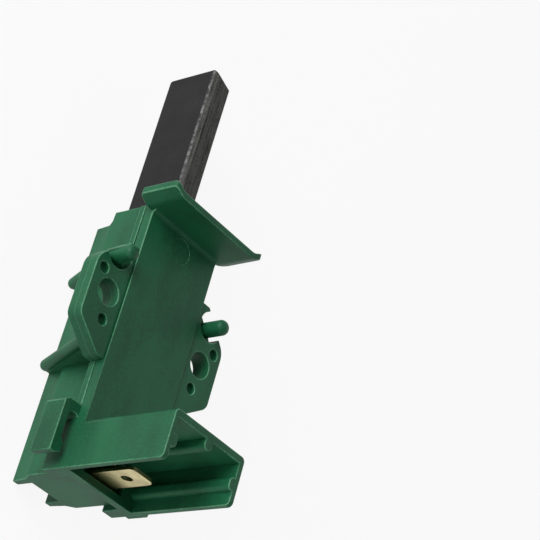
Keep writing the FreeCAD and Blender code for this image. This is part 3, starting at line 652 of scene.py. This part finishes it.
def lamp(name, towards, distance, size, power):
    """A square soft box that faces the object's middle."""
    light = bpy.data.lights.new(name, "AREA")
    light.size = size
    light.energy = power
    made = bpy.data.objects.new(name, light)
    direction = Vector(towards).normalized()
    made.location = MIDDLE + direction * distance
    made.rotation_euler = direction.to_track_quat("Z", "Y").to_euler()
    bpy.context.scene.collection.objects.link(made)


def in_sight(tree):
    """1 where the camera sees a surface, also in a reflection or through glass, and 0 where it only gives
    light."""
    rays = add(tree, "ShaderNodeLightPath").outputs
    seen = add(tree, "ShaderNodeMath", {0: rays["Is Camera Ray"], 1: rays["Is Glossy Ray"]},
               operation="MAXIMUM")
    clear = add(tree, "ShaderNodeMath", {0: seen.outputs[0], 1: rays["Is Transmission Ray"]},
                operation="MAXIMUM")
    return clear.outputs[0]


def white_paper(name):
    """Seamless paper, seen as white and still taking the object's shadow."""
    material, tree = new_material(name)
    paper = add(tree, "ShaderNodeBsdfDiffuse", {"Color": linear("#f4f4f4")})
    white = add(tree, "ShaderNodeEmission", {"Color": (1, 1, 1, 1), "Strength": 1.0})
    share = add(tree, "ShaderNodeMath", {0: in_sight(tree), 1: PAPER_WHITE}, operation="MULTIPLY")
    mixed = add(tree, "ShaderNodeMixShader", {0: share.outputs[0], 1: paper.outputs["BSDF"],
                                              2: white.outputs["Emission"]})
    add(tree, "ShaderNodeOutputMaterial", {"Surface": mixed.outputs["Shader"]})
    return material


def studio_world(name):
    """White walls all round under a darker ceiling."""
    world = bpy.data.worlds.new(name)
    world.use_nodes = True
    tree = world.node_tree
    tree.nodes.clear()
    place = add(tree, "ShaderNodeTexCoord").outputs["Generated"]
    height = add(tree, "ShaderNodeSeparateXYZ", {"Vector": place}).outputs["Z"]
    fade = add(tree, "ShaderNodeMapRange", {"Value": height, "From Min": WALL_TOP, "From Max": CEILING_EDGE,
                                            "To Min": 1.0, "To Max": CEILING})
    level = add(tree, "ShaderNodeMapRange", {"Value": in_sight(tree), "To Min": ROOM_LIGHT, "To Max": 1.0})
    strength = add(tree, "ShaderNodeMath", {0: fade.outputs["Result"], 1: level.outputs["Result"]},
                   operation="MULTIPLY")
    sky = add(tree, "ShaderNodeBackground", {"Color": (1, 1, 1, 1), "Strength": strength.outputs[0]})
    add(tree, "ShaderNodeOutputWorld", {"Surface": sky.outputs["Background"]})
    return world


class CARBON_BRUSH_OT_stage(bpy.types.Operator):
    """Set the floor, the lamps, the world and the camera."""

    bl_idname = "carbon_brush.stage"
    bl_label = "Stage"

    def execute(self, context):
        scene = context.scene
        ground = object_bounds()[0].z
        sheet = bpy.data.meshes.new("floor")
        sheet.from_pydata([(x * FLOOR_REACH, y * FLOOR_REACH, ground)
                           for x, y in ((-1, -1), (1, -1), (1, 1), (-1, 1))], [], [(0, 1, 2, 3)])
        floor = bpy.data.objects.new("floor", sheet)
        sheet.materials.append(white_paper("White paper"))
        scene.collection.objects.link(floor)
        floor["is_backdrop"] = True

        for name, where in LAMPS.items():
            lamp(name, *where)
        scene.world = studio_world("Studio")

        view = bpy.data.cameras.new("camera")
        view.lens = CAMERA_LENS
        view.sensor_width = CAMERA_SENSOR
        view.clip_start = CAMERA_NEAR
        view.clip_end = CAMERA_FAR
        camera = bpy.data.objects.new("camera", view)
        right, up = CAMERA_RIGHT.normalized(), CAMERA_UP.normalized()
        back = right.cross(up).normalized()
        turned = Matrix((right, up, back)).transposed().to_4x4()
        camera.matrix_world = Matrix.Translation(CAMERA_PLACE) @ turned
        scene.collection.objects.link(camera)
        scene.camera = camera
        scene.view_settings.view_transform = "Standard"
        return {"FINISHED"}


class CARBON_BRUSH_PT_panel(bpy.types.Panel):
    """The finishing steps, in order."""

    bl_idname = "CARBON_BRUSH_PT_panel"
    bl_label = "Carbon Brush"
    bl_space_type = "VIEW_3D"
    bl_region_type = "UI"
    bl_category = "Carbon Brush"

    def draw(self, context):
        for step in STEPS:
            self.layout.operator(step.bl_idname)
        for group in (context.scene.brush_holder, context.scene.brush_carbon, context.scene.brush_metal):
            box = self.layout.box()
            for name in group.__annotations__:
                box.prop(group, name)


STEPS = (CARBON_BRUSH_OT_holder, CARBON_BRUSH_OT_carbon, CARBON_BRUSH_OT_brass, CARBON_BRUSH_OT_spring,
         CARBON_BRUSH_OT_lead, CARBON_BRUSH_OT_stage)
CLASSES = (HolderSettings, CarbonSettings, MetalSettings, *STEPS, CARBON_BRUSH_PT_panel)


def register():
    for item in CLASSES:
        bpy.utils.register_class(item)
    bpy.types.Scene.brush_holder = PointerProperty(type=HolderSettings)
    bpy.types.Scene.brush_carbon = PointerProperty(type=CarbonSettings)
    bpy.types.Scene.brush_metal = PointerProperty(type=MetalSettings)


def unregister():
    del bpy.types.Scene.brush_holder
    del bpy.types.Scene.brush_carbon
    del bpy.types.Scene.brush_metal
    for item in reversed(CLASSES):
        bpy.utils.unregister_class(item)


def main():
    """Dress the solids and set the stage."""
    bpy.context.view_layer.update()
    register()
    bpy.ops.carbon_brush.holder()
    bpy.ops.carbon_brush.carbon()
    bpy.ops.carbon_brush.brass()
    bpy.ops.carbon_brush.spring()
    bpy.ops.carbon_brush.lead()
    bpy.ops.carbon_brush.stage()


if __name__ == "__main__":
    main()
